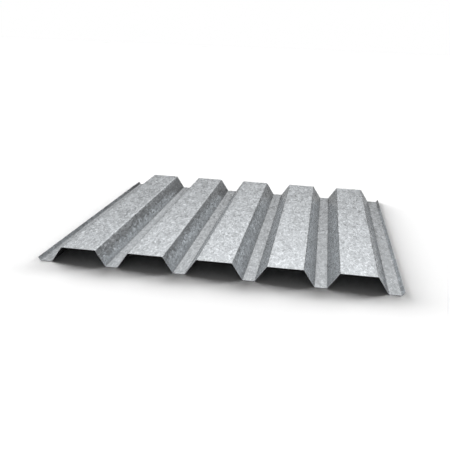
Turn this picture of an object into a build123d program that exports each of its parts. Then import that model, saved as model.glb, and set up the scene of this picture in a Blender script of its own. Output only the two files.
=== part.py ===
from build123d import *
import os

# A galvanised steel sheet, roll-formed across its width into wide flat crests and narrow flat
# troughs joined by sloping webs. Each long edge ends in one more trough and a short lip, which is
# the start of the next web, so that a neighbouring sheet laps over it by one trough. The sheet is
# one piece of steel of one thickness, cut square at both ends.
#
# X runs across the sheet, Y along the ribs and Z up. The origin is at the middle of the sheet, on
# the plane that the troughs rest on.

# Driving dimensions, in millimetres.
crest_count = 5
rib_pitch = 180.0
crest_width = 92.0
trough_width = 32.0
rib_depth = 43.0
lip_height = 9.0
sheet_length = 890.0
steel_thickness = 0.7
bend_inner_radius = 3.0

# The section is drawn along the middle of the steel, so it keeps half a thickness from both faces.
half_thickness = steel_thickness / 2
trough_level = half_thickness
crest_level = rib_depth - half_thickness
lip_level = trough_level + lip_height
bend_middle_radius = bend_inner_radius + half_thickness

# A web spans what the flats leave of a pitch, and a lip lies at the same slope as the webs.
web_run = (rib_pitch - crest_width - trough_width) / 2
web_rise = crest_level - trough_level
lip_run = lip_height * web_run / web_rise


def crest_corners(centre):
    """The four corners of one rib: foot, crest, crest and foot, from left to right."""
    crest_edge = crest_width / 2
    foot = crest_edge + web_run
    return [
        (centre - foot, trough_level),
        (centre - crest_edge, crest_level),
        (centre + crest_edge, crest_level),
        (centre + foot, trough_level),
    ]


def section_corners():
    """The corners of the whole section, from the left lip to the right one, before bending radii."""
    first_centre = -(crest_count - 1) / 2 * rib_pitch
    ribs = []
    for index in range(crest_count):
        ribs += crest_corners(first_centre + index * rib_pitch)
    edge_bend = ribs[-1][0] + trough_width
    lip_tip = edge_bend + lip_run
    left_edge = [(-lip_tip, lip_level), (-edge_bend, trough_level)]
    right_edge = [(edge_bend, trough_level), (lip_tip, lip_level)]
    return left_edge + ribs + right_edge


with BuildPart() as trapezoidal_sheet:
    with BuildSketch(Plane.XZ):
        with BuildLine():
            FilletPolyline(*section_corners(), radius=bend_middle_radius)
        trace(line_width=steel_thickness)
    extrude(amount=sheet_length / 2, both=True)

trapezoidal_sheet.part.label = "trapezoidal_sheet"

os.makedirs("parts", exist_ok=True)
export_step(trapezoidal_sheet.part, "parts/trapezoidal_sheet.step")
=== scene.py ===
import cmath
import math

import bpy
import numpy as np
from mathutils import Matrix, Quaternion, Vector


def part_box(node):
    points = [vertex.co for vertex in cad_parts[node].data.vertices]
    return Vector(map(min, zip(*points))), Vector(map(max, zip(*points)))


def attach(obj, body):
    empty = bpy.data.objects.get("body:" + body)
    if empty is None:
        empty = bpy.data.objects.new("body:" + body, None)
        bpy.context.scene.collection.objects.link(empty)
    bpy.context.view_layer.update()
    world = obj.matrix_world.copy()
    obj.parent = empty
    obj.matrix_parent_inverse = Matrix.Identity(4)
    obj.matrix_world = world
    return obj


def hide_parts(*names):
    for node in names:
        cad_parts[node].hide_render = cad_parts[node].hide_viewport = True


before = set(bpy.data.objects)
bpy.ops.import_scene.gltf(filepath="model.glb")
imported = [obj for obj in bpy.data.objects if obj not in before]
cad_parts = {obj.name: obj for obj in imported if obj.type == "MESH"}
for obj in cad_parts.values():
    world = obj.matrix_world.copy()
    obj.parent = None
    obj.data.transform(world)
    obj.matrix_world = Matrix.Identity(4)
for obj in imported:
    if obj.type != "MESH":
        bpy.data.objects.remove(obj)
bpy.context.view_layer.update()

# Looks of a galvanised trapezoidal steel sheet, in metres and in the part's own frame: X across the
# ribs, Y along them and Z up. Length and depth come from the frame, the rest of the section from these.
CREST_COUNT = 5
RIB_PITCH = 0.180
CREST_WIDTH = 0.092
TROUGH_WIDTH = 0.032
LIP_HEIGHT = 0.009
STEEL_THICKNESS = 0.0007
BEND_INNER_RADIUS = 0.003

# How finely the mesh is cut, and the angle past which an edge is sharp.
BEND_STEPS = 6
FLAT_STEP = 0.011
LENGTH_STEP = 0.010
SHARP_ANGLE = math.radians(40.0)

# How far the middle of each kind of flat strays from flat, as rolled steel does. It does so in waves,
# each given as cycles in the sheet's length and its weight. The phase step sets neighbours apart.
CREST_SAG = 0.00030
WEB_BOW = 0.00018
TROUGH_CROWN = 0.00012
WAVES = ((1.3, 0.34), (2.9, 0.28), (5.3, 0.22), (8.7, 0.16))
WAVE_PHASE_STEP = 1.7

# In the unrolled coordinates the underside lies this far aside, so that its crystals are its own.
UNDERSIDE_SHIFT = 3.0

# The map for baking, in shares of the image: where the sheet's width starts and what it takes up, what
# the length takes up, where the two skins, the two cut ends and the two long edges lie, and how wide a
# strip of cut edge is. The long edges are drawn out lengthwise, by their stretch.
BAKE_LEFT = 0.01
BAKE_WIDTH = 0.98
BAKE_LENGTH = 0.475
SKIN_PLACES = (0.005, 0.495)
END_PLACES = (0.982, 0.991)
LONG_EDGE_PLACES = (0.0005, 0.995)
LONG_EDGE_START = 0.01
LONG_EDGE_STRETCH = 2.0
STRIP_WIDTH = 0.004

# Camera, as fitted to the photograph: lens on a 36 mm sensor, where it stands, what it looks at on
# the floor, and how far it is tilted sideways.
SENSOR_WIDTH = 36.0
LENS = 47.85
CAMERA_PLACE = Vector((0.2407, -1.8303, 0.5850))
CAMERA_AIM = Vector((-0.0440, -0.0022, 0.0))
CAMERA_ROLL = math.radians(2.188)

# Light on the floor: soft lamps low behind the sheet, from its left round to its right, and a low even
# fill. Each lamp is azimuth from +Y, elevation and width in the sky, all in degrees, and strength.
LAMPS = (
    (-68.0, 14.0, 30.0, 4.7),
    (-38.0, 15.0, 32.0, 3.5),
    (5.0, 15.0, 34.0, 1.0),
    (46.0, 14.0, 32.0, 4.1),
)
FILL_STRENGTH = 0.11

# The floor as the eye sees it, as the metal mirrors it in front of the sheet and behind it, between
# which it fades along Y, and as it is for light that has bounced. Behind the sheet the mirrored floor is
# painted darker, as painted shade in the metal's reflections. The dark floor for bounced light deepens
# the shade under the sheet.
FLOOR_SIZE = 60.0
FLOOR_DROP = 0.0002
FLOOR_COLOUR = (0.95, 0.95, 0.95, 1.0)
FLOOR_MIRRORED_COLOUR = (0.85, 0.85, 0.85, 1.0)
FLOOR_BEHIND_SHADE_COLOUR = (0.33, 0.33, 0.33, 1.0)
FLOOR_FADE = (0.15, 0.60)
FLOOR_BOUNCE_COLOUR = (0.35, 0.35, 0.35, 1.0)

# The sky as the metal mirrors it: white, with a grey band along the horizon behind the sheet, a darker
# right side, and one soft glow high behind the sheet. Spans are in parts of a unit vector: SKY_RISE
# upwards, BACK_SPREAD backwards and RIGHT_SPREAD to the right. The glow's angles are in degrees.
SKY_LEVEL = 1.0
HORIZON_LEVEL = 0.22
SKY_RISE = (0.261, 0.314)
BACK_SPREAD = (0.30, 0.80)
RIGHT_LEVEL = 0.66
RIGHT_SPREAD = (0.25, 0.65)
GLOW_STRENGTH = 0.47
GLOW_AZIMUTH = -2.0
GLOW_ELEVATION = 35.0
GLOW_REACH = 24.0

# Zinc spangle. A crystal's width across the sheet and length along it, and the size of the broad
# clouds that crystals gather in, are in metres. Flakes and fronds are given as shares of a crystal.
CRYSTAL_WIDTH = 0.0095
CRYSTAL_LENGTH = 0.022
FLAKE_SHARE = 0.45
FROND_LENGTH = 0.60
FROND_WIDTH = 0.15
CLOUD_WIDTH = 0.030
CLOUD_LENGTH = 0.060

# Crystal edges wander: a noise of this grain and detail pushes them about, across this reach, in
# crystals. Their pale rims fade out away from the edge, and come and go with the same noise.
PUSH_GRAIN = 1.1
PUSH_DETAIL = 2.0
PUSH_REACH = 1.4
RIM_SPAN = (0.02, 0.15)
RIM_GAP_SPAN = (0.38, 0.56)

# The zinc's shade is the base and a share of each pattern. It picks a colour from dark to pale.
# Crystals differ in roughness too.
BASE_SHADE = 0.142
CRYSTAL_WEIGHT = 0.144
CLOUD_WEIGHT = 0.106
FLAKE_WEIGHT = 0.231
FROND_WEIGHT = 0.340
RIM_WEIGHT = 0.231
ZINC_SHADES = (
    (0.0, (0.240, 0.253, 0.265)),
    (0.32, (0.395, 0.415, 0.432)),
    (0.59, (0.568, 0.595, 0.618)),
    (0.80, (0.768, 0.802, 0.833)),
    (1.0, (0.885, 0.920, 0.950)),
)
ZINC_ROUGHNESS = (0.20, 0.30)

# How far crystals and flakes lean from side to side, in parts of a unit vector. Flakes lean further on
# the webs than on the flats.
CRYSTAL_LEAN = 0.022
FLAT_FLAKE_LEAN = 0.050
WEB_FLAKE_LEAN = 0.160

# Painted shade: the zinc's colour is darkened towards the troughs, towards the foot of a web and on the
# lips, and lightened towards the top of a web as painted light. The crests are left as they are. Bends
# are darker too, partly from zinc crazed by bending and partly as painted shade against their highlight.
# The painted trough shade is left off the outermost web on the right, which has no rib beside it.
# LIP_SPAN and LAP_SPAN are where, to the side, a lip and that web begin.
TROUGH_PAINTED_SHADE = 0.36
WEB_PAINTED_SHADE = 0.12
LIP_PAINTED_SHADE = 0.30
BEND_CRAZING_AND_SHADE = 0.24
LIP_SPAN = (0.464, 0.469)
LAP_SPAN = (0.400, 0.412)

# How far a web's normal leans to the side, as a part of a unit vector.
WEB_SLOPE = 0.834

# Sheared edge: the grain and detail of its lines, the colours it takes from them, and its roughness as
# they cross a span.
EDGE_GRAIN = 900.0
EDGE_DETAIL = 3.0
EDGE_SHADES = ((0.3, (0.33, 0.33, 0.34)), (0.7, (0.52, 0.53, 0.54)))
EDGE_SPAN = (0.2, 0.8)
EDGE_ROUGHNESS = (0.35, 0.55)

low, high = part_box("trapezoidal_sheet")
sheet_length = high.y - low.y
rib_depth = high.z - low.z
half_steel = STEEL_THICKNESS / 2


def section_corners():
    """Corners of the middle of the steel, from the left lip to the right one, as x + z * 1j."""
    foot_level = half_steel
    crest_level = rib_depth - half_steel
    web_run = (RIB_PITCH - CREST_WIDTH - TROUGH_WIDTH) / 2
    lip_run = LIP_HEIGHT * web_run / (crest_level - foot_level)
    ribs = []
    for index in range(CREST_COUNT):
        centre = (index - (CREST_COUNT - 1) / 2) * RIB_PITCH
        crest_edge = CREST_WIDTH / 2
        foot = crest_edge + web_run
        ribs.append(complex(centre - foot, foot_level))
        ribs.append(complex(centre - crest_edge, crest_level))
        ribs.append(complex(centre + crest_edge, crest_level))
        ribs.append(complex(centre + foot, foot_level))
    edge_bend = ribs[-1].real + TROUGH_WIDTH
    lip_tip = edge_bend + lip_run
    lip_level = foot_level + LIP_HEIGHT
    left = [complex(-lip_tip, lip_level), complex(-edge_bend, foot_level)]
    right = [complex(edge_bend, foot_level), complex(lip_tip, lip_level)]
    return left + ribs + right


def flat_bow(start, end):
    """How far the middle of a flat strays along its upward normal. Crests sag and troughs crown."""
    if abs(end - start) < 2 * LIP_HEIGHT:
        return 0.0
    if abs(end.imag - start.imag) > half_steel:
        return WEB_BOW
    return -CREST_SAG if start.imag > rib_depth / 2 else TROUGH_CROWN


def section_stations():
    """Stations along the bent section: place, upward normal, length run so far, bow and flat's number."""
    corners = section_corners()
    radius = BEND_INNER_RADIUS + half_steel
    ways = [(b - a) / abs(b - a) for a, b in zip(corners, corners[1:])]
    turns = [cmath.phase(b / a) for a, b in zip(ways, ways[1:])] + [0.0]
    stations = []
    run = 0.0
    start = corners[0]
    for number, (way, turn) in enumerate(zip(ways, turns)):
        setback = radius * math.tan(abs(turn) / 2)
        end = corners[number + 1] - way * setback
        width = abs(end - start)
        bow = flat_bow(corners[number], corners[number + 1])
        steps = max(1, math.ceil(width / FLAT_STEP))
        for share in np.linspace(0.0, 1.0, steps + 1):
            place = start + (end - start) * share
            stray = bow * math.sin(math.pi * share) ** 2
            stations.append((place, way * 1j, run + width * share, stray, number))
        run += width
        if turn == 0.0:
            break
        centre = end + way * 1j * math.copysign(radius, turn)
        for step in range(1, BEND_STEPS):
            swing = cmath.rect(1.0, turn * step / BEND_STEPS)
            place = centre + (end - centre) * swing
            arc = radius * abs(turn) * step / BEND_STEPS
            stations.append((place, way * 1j * swing, run + arc, 0.0, number))
        run += radius * abs(turn)
        start = corners[number + 1] + ways[number + 1] * setback
    return stations


def sheet_mesh():
    """The sheet as one closed mesh, with its unrolled coordinates in metres and a map for baking."""
    place, normal, run, bow, flat = (np.array(column) for column in zip(*section_stations()))
    rows = math.ceil(sheet_length / LENGTH_STEP) + 1
    along = np.linspace(-sheet_length / 2, sheet_length / 2, rows)

    # Each flat waves along its length at its own phases, always to the side that keeps it in the section.
    wave = np.zeros((rows, len(place)))
    for cycles, weight in WAVES:
        phase = flat * (WAVE_PHASE_STEP + cycles)
        swing = np.sin(2 * math.pi * cycles * along[:, None] / sheet_length + phase)
        wave += weight * (0.5 + 0.5 * swing)
    middle = place + normal * bow * wave

    count = len(place)
    skins = []
    for side in (1.0, -1.0):
        skin = middle + normal * side * half_steel
        lengthwise = np.broadcast_to(along[:, None], skin.shape)
        skins.append(np.stack([skin.real, lengthwise, skin.imag], axis=2))
    vertices = np.concatenate([skin.reshape(-1, 3) for skin in skins])

    def corner(side, row, column):
        return side * rows * count + row * count + column

    faces = []
    unrolled = []
    baked = []
    bake_run = BAKE_LEFT + BAKE_WIDTH * run / run[-1]
    bake_along = (along / sheet_length + 0.5) * BAKE_LENGTH

    def add(face, spots, bake_spots):
        faces.append(face)
        unrolled.extend(spots)
        baked.extend(bake_spots)

    for row in range(rows - 1):
        for column in range(count - 1):
            ring = [(row, column), (row, column + 1), (row + 1, column + 1), (row + 1, column)]
            for side, turned in ((0, ring), (1, ring[::-1])):
                add(
                    [corner(side, r, c) for r, c in turned],
                    [(run[c] + UNDERSIDE_SHIFT * side, along[r]) for r, c in turned],
                    [(bake_run[c], SKIN_PLACES[side] + bake_along[r]) for r, c in turned],
                )
    skin_faces = len(faces)

    # The cut ends and the two long edges, each a strip as thick as the steel.
    for base, row in zip(END_PLACES, (0, rows - 1)):
        for column in range(count - 1):
            ring = [
                (1, column, 0.0),
                (1, column + 1, 0.0),
                (0, column + 1, STRIP_WIDTH),
                (0, column, STRIP_WIDTH),
            ]
            turned = ring if row == 0 else ring[::-1]
            add(
                [corner(side, row, c) for side, c, _ in turned],
                [(run[c], along[row] + rise) for side, c, rise in turned],
                [(bake_run[c], base + rise) for side, c, rise in turned],
            )
    edge_along = LONG_EDGE_START + LONG_EDGE_STRETCH * bake_along
    for base, column in zip(LONG_EDGE_PLACES, (0, count - 1)):
        for row in range(rows - 1):
            ring = [
                (0, row, STRIP_WIDTH),
                (0, row + 1, STRIP_WIDTH),
                (1, row + 1, 0.0),
                (1, row, 0.0),
            ]
            turned = ring if column == 0 else ring[::-1]
            add(
                [corner(side, r, column) for side, r, _ in turned],
                [(run[column] + rise, along[r]) for side, r, rise in turned],
                [(base + rise, edge_along[r]) for side, r, rise in turned],
            )

    mesh = bpy.data.meshes.new("galvanised_sheet")
    mesh.from_pydata(vertices.tolist(), [], faces)
    for name, spots in (("unrolled", unrolled), ("OFBake", baked)):
        layer = mesh.uv_layers.new(name=name)
        layer.uv.foreach_set("vector", np.array(spots, np.float32).ravel())
    mesh.polygons.foreach_set("use_smooth", np.ones(len(faces), bool))
    slots = np.zeros(len(faces), np.int32)
    slots[skin_faces:] = 1
    mesh.polygons.foreach_set("material_index", slots)
    mesh.set_sharp_from_angle(angle=SHARP_ANGLE)
    mesh.validate()
    mesh.update()
    return mesh


def new_material(name):
    """An empty node material with a Principled shader: (material, tree, shader)."""
    material = bpy.data.materials.new(name)
    material.use_nodes = True
    tree = material.node_tree
    return material, tree, tree.nodes["Principled BSDF"]


def feed(tree, value, socket):
    """Links a socket into another one, or sets it to a value."""
    if isinstance(value, bpy.types.NodeSocket):
        tree.links.new(value, socket)
    else:
        socket.default_value = value


def add_node(tree, kind, settings=(), **inputs):
    """A node with its settings and inputs. An input goes by its name, or by i and its place."""
    node = tree.nodes.new(kind)
    for name, value in dict(settings).items():
        setattr(node, name, value)
    for name, value in inputs.items():
        key = int(name[1:]) if name[1:].isdigit() else name
        feed(tree, value, node.inputs[key])
    return node


def maths(tree, operation, a, b=0.0):
    return add_node(tree, "ShaderNodeMath", {"operation": operation}, i0=a, i1=b).outputs[0]


def vector_maths(tree, operation, a, b):
    return add_node(tree, "ShaderNodeVectorMath", {"operation": operation}, i0=a, i1=b).outputs[0]


def map_range(tree, value, span, levels, interpolation="LINEAR"):
    """From the first level to the second as the value crosses its span."""
    settings = {"interpolation_type": interpolation}
    ends = {"i1": span[0], "i2": span[1], "i3": levels[0], "i4": levels[1]}
    return add_node(tree, "ShaderNodeMapRange", settings, i0=value, **ends).outputs[0]


def soft_step(tree, value, span, levels):
    """A smooth step from the first level to the second as the value crosses its span."""
    return map_range(tree, value, span, levels, "SMOOTHSTEP")


def ramp(tree, factor, stops):
    """A colour ramp through (place, colour) stops."""
    node = add_node(tree, "ShaderNodeValToRGB", Fac=factor)
    elements = node.color_ramp.elements
    while len(elements) < len(stops):
        elements.new(0.5)
    for element, (place, colour) in zip(elements, stops):
        element.position = place
        element.color = (*colour, 1.0)
    return node.outputs["Color"]


def add_mix(tree, kind, factor, a, b):
    """A blend of two values or colours: a where the factor is 0, b where it is 1."""
    node = add_node(tree, "ShaderNodeMix", {"data_type": kind}, Factor=factor)
    sockets = [socket for socket in node.inputs if socket.enabled and socket.name in ("A", "B")]
    for socket, value in zip(sockets, (a, b)):
        feed(tree, value, socket)
    return next(socket for socket in node.outputs if socket.enabled)


def noise(tree, spot, scale=1.0, detail=1.0):
    """Outputs of a noise over the unrolled sheet."""
    settings = {"noise_dimensions": "2D"}
    return add_node(tree, "ShaderNodeTexNoise", settings, Vector=spot, Scale=scale, Detail=detail).outputs


def cells(tree, spot, scale=1.0, feature="F1"):
    """Outputs of a pattern of cells over the unrolled sheet."""
    settings = {"voronoi_dimensions": "2D", "feature": feature}
    return add_node(tree, "ShaderNodeTexVoronoi", settings, Vector=spot, Scale=scale).outputs


def to_either_side(tree, colour, reach):
    """A random colour as a push to either side, across this reach in all."""
    push = vector_maths(tree, "SUBTRACT", colour, (0.5, 0.5, 0.5))
    return vector_maths(tree, "MULTIPLY", push, reach)


def zinc_material():
    """Hot-dip zinc: crystals drawn out along the sheet, each with its own shade, fronds and pale rim."""
    material, tree, shader = new_material("zinc_spangle")
    flat = add_node(tree, "ShaderNodeUVMap", {"uv_map": "unrolled"}).outputs["UV"]
    drawn = vector_maths(tree, "MULTIPLY", flat, (1 / CRYSTAL_WIDTH, 1 / CRYSTAL_LENGTH, 0.0))
    push = noise(tree, drawn, PUSH_GRAIN, PUSH_DETAIL)
    offset = to_either_side(tree, push["Color"], (PUSH_REACH, PUSH_REACH, 0.0))
    spot = vector_maths(tree, "ADD", drawn, offset)

    crystal = cells(tree, spot)
    rim = cells(tree, spot, feature="DISTANCE_TO_EDGE")["Distance"]
    flake = cells(tree, spot, 1 / FLAKE_SHARE)
    crystal_parts = add_node(tree, "ShaderNodeSeparateColor", Color=crystal["Color"]).outputs
    flake_parts = add_node(tree, "ShaderNodeSeparateColor", Color=flake["Color"]).outputs

    # Fronds of zinc grow across each crystal in a direction of its own.
    turned = add_node(
        tree,
        "ShaderNodeVectorRotate",
        {"rotation_type": "Z_AXIS"},
        Vector=spot,
        Center=crystal["Position"],
        Angle=maths(tree, "MULTIPLY", crystal_parts["Red"], math.pi),
    ).outputs[0]
    grown = vector_maths(tree, "MULTIPLY", turned, (1 / FROND_LENGTH, 1 / FROND_WIDTH, 0.0))
    frond = noise(tree, grown)["Fac"]
    spread = vector_maths(tree, "MULTIPLY", flat, (1 / CLOUD_WIDTH, 1 / CLOUD_LENGTH, 0.0))
    cloud = noise(tree, spread)["Fac"]

    # The pale rims between crystals come and go.
    pale = soft_step(tree, rim, RIM_SPAN, (1.0, 0.0))
    pale = maths(tree, "MULTIPLY", pale, soft_step(tree, push["Fac"], RIM_GAP_SPAN, (0.0, 1.0)))
    patterns = (
        (crystal_parts["Green"], CRYSTAL_WEIGHT),
        (cloud, CLOUD_WEIGHT),
        (flake_parts["Red"], FLAKE_WEIGHT),
        (frond, FROND_WEIGHT),
        (pale, RIM_WEIGHT),
    )
    shade = BASE_SHADE
    for pattern, weight in patterns:
        shade = maths(tree, "ADD", maths(tree, "MULTIPLY", pattern, weight), shade)
    colour = ramp(tree, shade, ZINC_SHADES)

    # The slope is 0 on the flats and 1 on the webs. Its bend is strongest midway, where it is a quarter.
    own = add_node(tree, "ShaderNodeTexCoord").outputs
    lean_aside = add_node(tree, "ShaderNodeSeparateXYZ", Vector=own["Normal"]).outputs["X"]
    slope = maths(tree, "DIVIDE", maths(tree, "ABSOLUTE", lean_aside), WEB_SLOPE)
    bend = maths(tree, "MULTIPLY", slope, maths(tree, "SUBTRACT", 1.0, slope))
    # Bends are darkened: partly zinc crazed by bending, partly painted shade against the bend's
    # highlight.
    crazing_and_shade = maths(tree, "MULTIPLY", bend, 4 * BEND_CRAZING_AND_SHADE)

    place = add_node(tree, "ShaderNodeSeparateXYZ", Vector=own["Object"]).outputs
    # Painted shade: the zinc is darker towards the troughs, where shade falls between the ribs.
    depth = map_range(tree, place["Z"], (0.0, rib_depth), (TROUGH_PAINTED_SHADE, 0.0))
    # The painted trough shade is left off the outermost web on the right, which has no rib beside it.
    lap = maths(tree, "MULTIPLY", slope, soft_step(tree, place["X"], LAP_SPAN, (0.0, 1.0)))
    depth = maths(tree, "MULTIPLY", depth, maths(tree, "SUBTRACT", 1.0, lap))
    # Painted shade at the foot of each web and painted light at its top.
    web_shade = map_range(tree, place["Z"], (0.0, rib_depth), (WEB_PAINTED_SHADE, -WEB_PAINTED_SHADE))
    painted_shade_and_crazing = maths(tree, "ADD", maths(tree, "ADD", depth, crazing_and_shade), maths(tree, "MULTIPLY", web_shade, slope))
    # Painted shade on the lips.
    aside = maths(tree, "ABSOLUTE", place["X"])
    lip = soft_step(tree, aside, LIP_SPAN, (1.0, 1.0 - LIP_PAINTED_SHADE))
    # The painted shade, with the bends' crazing, darkens the zinc's colour.
    painted_shade_factor = maths(tree, "MULTIPLY", maths(tree, "SUBTRACT", 1.0, painted_shade_and_crazing), lip)
    colour = vector_maths(tree, "MULTIPLY", colour, painted_shade_factor)
    tree.links.new(colour, shader.inputs["Base Color"])

    rough = map_range(tree, crystal_parts["Blue"], (0.0, 1.0), ZINC_ROUGHNESS)
    tree.links.new(rough, shader.inputs["Roughness"])

    # Each crystal and flake leans a little, which makes some glint and others fall dark.
    crystal_lean = to_either_side(tree, crystal["Color"], (CRYSTAL_LEAN,) * 3)
    flake_reach = add_mix(tree, "FLOAT", slope, FLAT_FLAKE_LEAN, WEB_FLAKE_LEAN)
    flake_lean = to_either_side(tree, flake["Color"], flake_reach)
    surface = add_node(tree, "ShaderNodeNewGeometry").outputs["Normal"]
    leaned = vector_maths(tree, "ADD", surface, vector_maths(tree, "ADD", crystal_lean, flake_lean))
    leaned = add_node(tree, "ShaderNodeVectorMath", {"operation": "NORMALIZE"}, i0=leaned).outputs[0]
    tree.links.new(leaned, shader.inputs["Normal"])

    shader.inputs["Metallic"].default_value = 1.0
    return material


def cut_edge_material():
    """The sheared edge: bare steel with a smear of zinc, drawn in fine lines across its thickness."""
    material, tree, shader = new_material("sheared_edge")
    place = add_node(tree, "ShaderNodeTexCoord").outputs["Object"]
    lines = add_node(tree, "ShaderNodeTexNoise", Vector=place, Scale=EDGE_GRAIN, Detail=EDGE_DETAIL)
    colour = ramp(tree, lines.outputs["Fac"], EDGE_SHADES)
    tree.links.new(colour, shader.inputs["Base Color"])
    rough = map_range(tree, lines.outputs["Fac"], EDGE_SPAN, EDGE_ROUGHNESS)
    tree.links.new(rough, shader.inputs["Roughness"])
    shader.inputs["Metallic"].default_value = 1.0
    return material


def make_sheet():
    """The sheet in zinc, with bare cut edges, in place of the plain one."""
    mesh = sheet_mesh()
    mesh.materials.append(zinc_material())
    mesh.materials.append(cut_edge_material())
    sheet = bpy.data.objects.new("galvanised_sheet", mesh)
    bpy.context.scene.collection.objects.link(sheet)
    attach(sheet, "root")
    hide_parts("trapezoidal_sheet")


def ray_kinds(tree):
    """1 for rays that see the backdrop as it is, and 1 for rays that see it in the metal."""
    path = add_node(tree, "ShaderNodeLightPath").outputs
    seen = maths(tree, "MAXIMUM", path["Is Camera Ray"], path["Is Transmission Ray"])
    unbounced = maths(tree, "LESS_THAN", path["Diffuse Depth"], 0.5)
    return seen, maths(tree, "MULTIPLY", path["Is Glossy Ray"], unbounced)


def make_floor():
    """A plain pale floor, level with the undersides of the troughs. In the metal it is painted darker
    behind the sheet.
    """
    half = FLOOR_SIZE / 2
    corners = [(-half, -half, 0), (half, -half, 0), (half, half, 0), (-half, half, 0)]
    mesh = bpy.data.meshes.new("floor")
    mesh.from_pydata(corners, [], [(0, 1, 2, 3)])
    floor = bpy.data.objects.new("floor", mesh)
    floor.location.z = -FLOOR_DROP
    bpy.context.scene.collection.objects.link(floor)
    material, tree, shader = new_material("floor_white")
    seen, mirrored = ray_kinds(tree)
    place = add_node(tree, "ShaderNodeTexCoord").outputs["Object"]
    along = add_node(tree, "ShaderNodeSeparateXYZ", Vector=place).outputs["Y"]
    # Behind the sheet the floor that the metal mirrors is painted darker, as painted shade in its
    # reflections.
    behind = soft_step(tree, along, FLOOR_FADE, (0.0, 1.0))
    in_metal = add_mix(tree, "RGBA", behind, FLOOR_MIRRORED_COLOUR, FLOOR_BEHIND_SHADE_COLOUR)
    colour = add_mix(tree, "RGBA", mirrored, FLOOR_BOUNCE_COLOUR, in_metal)
    colour = add_mix(tree, "RGBA", seen, colour, FLOOR_COLOUR)
    tree.links.new(colour, shader.inputs["Base Color"])
    shader.inputs["Roughness"].default_value = 1.0
    shader.inputs["Specular IOR Level"].default_value = 0.0
    mesh.materials.append(material)


def direction(azimuth, elevation):
    """A unit vector towards an azimuth from +Y and an elevation, both in degrees."""
    turn = math.radians(azimuth)
    climb = math.radians(elevation)
    level = math.cos(climb)
    return Vector((math.sin(turn) * level, math.cos(turn) * level, math.sin(climb)))


def make_world():
    """White to the eye, a soft sky with one glow in the metal, and a low even fill as light."""
    world = bpy.data.worlds.new("studio")
    world.use_nodes = True
    tree = world.node_tree
    way = add_node(tree, "ShaderNodeTexCoord").outputs["Generated"]
    parts = add_node(tree, "ShaderNodeSeparateXYZ", Vector=way).outputs
    rise = soft_step(tree, parts["Z"], SKY_RISE, (HORIZON_LEVEL, SKY_LEVEL))
    behind = soft_step(tree, parts["Y"], BACK_SPREAD, (0.0, 1.0))
    sky = add_mix(tree, "FLOAT", behind, SKY_LEVEL, rise)
    sky = maths(tree, "MULTIPLY", sky, soft_step(tree, parts["X"], RIGHT_SPREAD, (1.0, RIGHT_LEVEL)))
    centre = direction(GLOW_AZIMUTH, GLOW_ELEVATION)
    nearness = add_node(tree, "ShaderNodeVectorMath", {"operation": "DOT_PRODUCT"}, i0=way, i1=centre)
    rim = math.cos(math.radians(GLOW_REACH))
    glow = soft_step(tree, nearness.outputs["Value"], (rim, 1.0), (0.0, GLOW_STRENGTH))
    seen, mirrored = ray_kinds(tree)
    strength = add_mix(tree, "FLOAT", mirrored, FILL_STRENGTH, maths(tree, "ADD", sky, glow))
    strength = add_mix(tree, "FLOAT", seen, strength, 1.0)
    background = tree.nodes["Background"]
    background.inputs["Color"].default_value = (1.0, 1.0, 1.0, 1.0)
    tree.links.new(strength, background.inputs["Strength"])
    bpy.context.scene.world = world


def make_lamps():
    """Soft lamps far behind the sheet. Its metal is lit by the sky it mirrors, not by these."""
    for azimuth, elevation, width, strength in LAMPS:
        data = bpy.data.lights.new("soft_lamp", "SUN")
        data.energy = strength
        data.angle = math.radians(width)
        lamp = bpy.data.objects.new("soft_lamp", data)
        lamp.rotation_mode = "QUATERNION"
        lamp.rotation_quaternion = direction(azimuth, elevation).to_track_quat("Z", "Y")
        lamp.visible_glossy = False
        bpy.context.scene.collection.objects.link(lamp)


def make_camera():
    """The camera that took the photograph."""
    data = bpy.data.cameras.new("camera")
    data.sensor_width = SENSOR_WIDTH
    data.lens = LENS
    camera = bpy.data.objects.new("camera", data)
    camera.location = CAMERA_PLACE
    camera.rotation_mode = "QUATERNION"
    aim = (CAMERA_AIM - CAMERA_PLACE).to_track_quat("-Z", "Y")
    camera.rotation_quaternion = aim @ Quaternion((0.0, 0.0, 1.0), CAMERA_ROLL)
    bpy.context.scene.collection.objects.link(camera)
    bpy.context.scene.camera = camera


make_camera()
make_world()
make_lamps()
make_floor()
make_sheet()
bpy.context.scene.view_settings.view_transform = "Standard"
